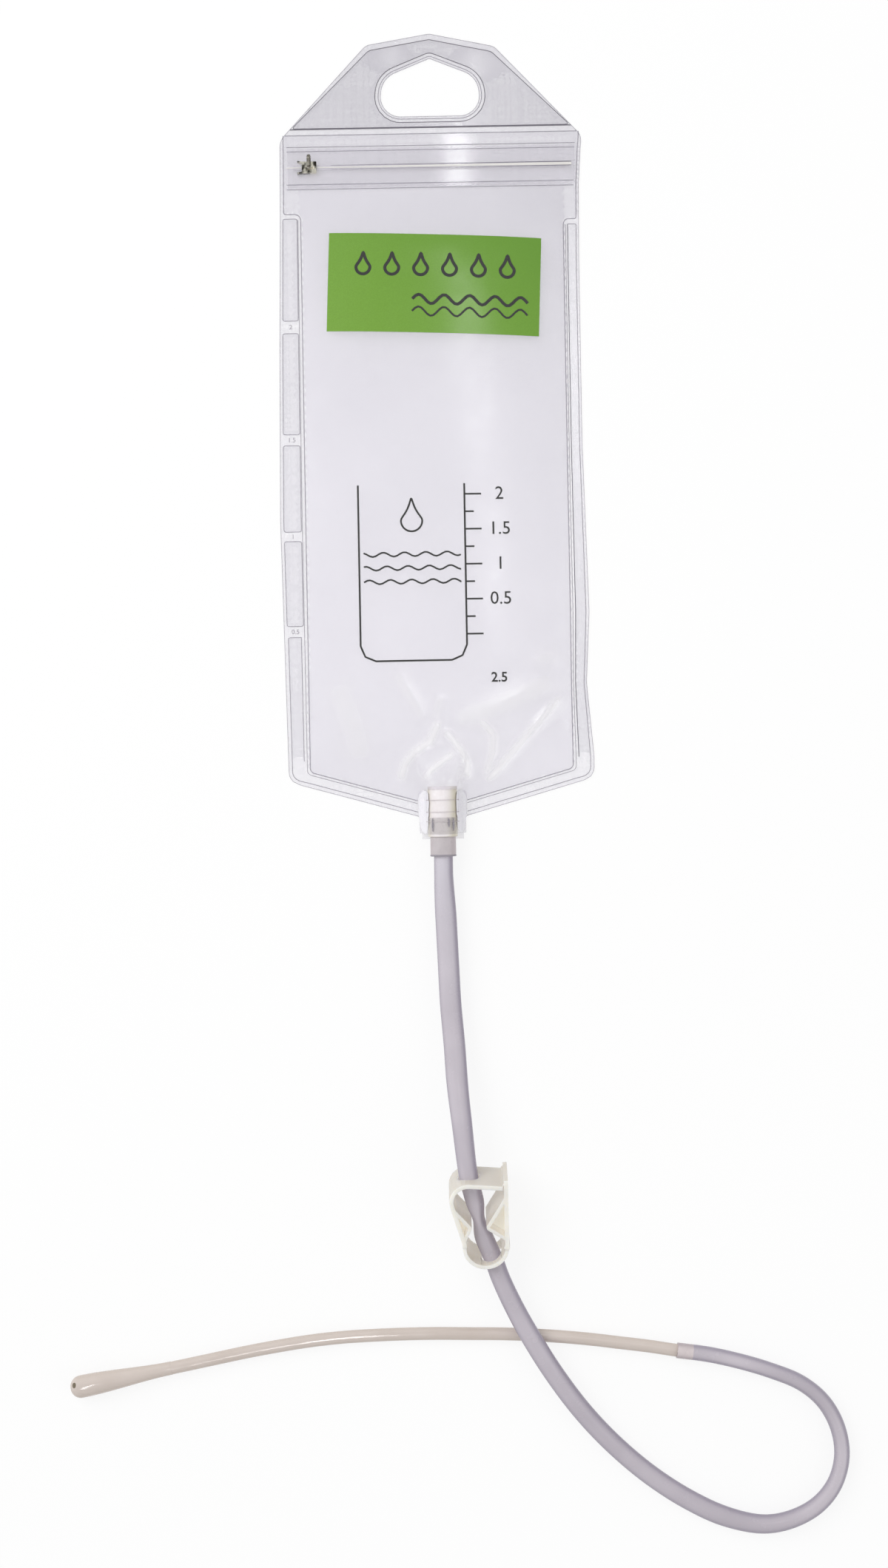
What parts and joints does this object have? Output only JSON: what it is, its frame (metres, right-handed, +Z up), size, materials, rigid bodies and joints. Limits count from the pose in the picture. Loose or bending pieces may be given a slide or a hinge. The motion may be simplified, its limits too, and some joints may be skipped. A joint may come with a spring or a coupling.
{
  "type": "oral drench bag",
  "caption": "Flat clear bag with handle, slider zip and bottom port, feeding a hose with a pinch clamp and a flexible bulb-tipped probe for dosing livestock by mouth.",
  "frame": {"origin": "on the surface that the bag lies on, under the middle of the bag's box from the handle's top to the end of the port's sleeve", "axes": "+Y runs up the bag from the port to the handle, +X to the right seen from the front film, +Z up from the back film to the front film"},
  "size_m": [0.5139, 0.9941, 0.0457],
  "materials": {
    "film": "clear soft PVC film",
    "weld": "clear welded PVC bead",
    "zip": "translucent extruded PVC",
    "slider": "bright nickel plated metal",
    "port": "translucent PVC tube",
    "collar": "frosted welded film",
    "connector": "moulded polyethylene",
    "sleeve": "soft translucent PVC",
    "hose": "clear soft PVC hose",
    "clamp": "moulded ivory acetal",
    "probe": "flexible cream PVC",
    "label": "printed ink panel"
  },
  "bodies": {
    "bag": {"back_film": "film", "handle_film": "film", "chamber_film": "film", "handle_weld": "weld", "chamber_weld": "weld", "zip_rail_upper": "zip", "zip_rail_lower": "zip", "zip_end_stops": "zip", "port_tube": "port", "port_collar": "collar", "connector": "connector", "coupling_sleeve": "sleeve", "hose": "hose", "clamp_frame": "clamp", "clamp_loop": "clamp", "probe_tube": "probe", "probe_bulb": "probe", "label_panel": "label"},
    "slider": {"slider_body": "slider"},
    "pull": {"slider_pull": "slider"},
    "latch_arm": {"clamp_latch_arm": "clamp"}
  },
  "joints": [
    {"name": "zip_slide", "type": "slide", "parent": "bag", "child": "slider", "axis": [1, 0, 0], "range_m": [-0.005, 0.166]},
    {"name": "pull_swing", "type": "hinge", "parent": "slider", "child": "pull", "pos_m": [-0.0805, 0.184, 0.00671], "axis": [1, 0, 0], "range_deg": [0, 130]},
    {"name": "clamp_hinge", "type": "hinge", "parent": "bag", "child": "latch_arm", "pos_m": [0.0368, -0.522, 0.01857], "axis": [0, 0.2588, -0.9659], "range_deg": [0, 22]}
  ]
}
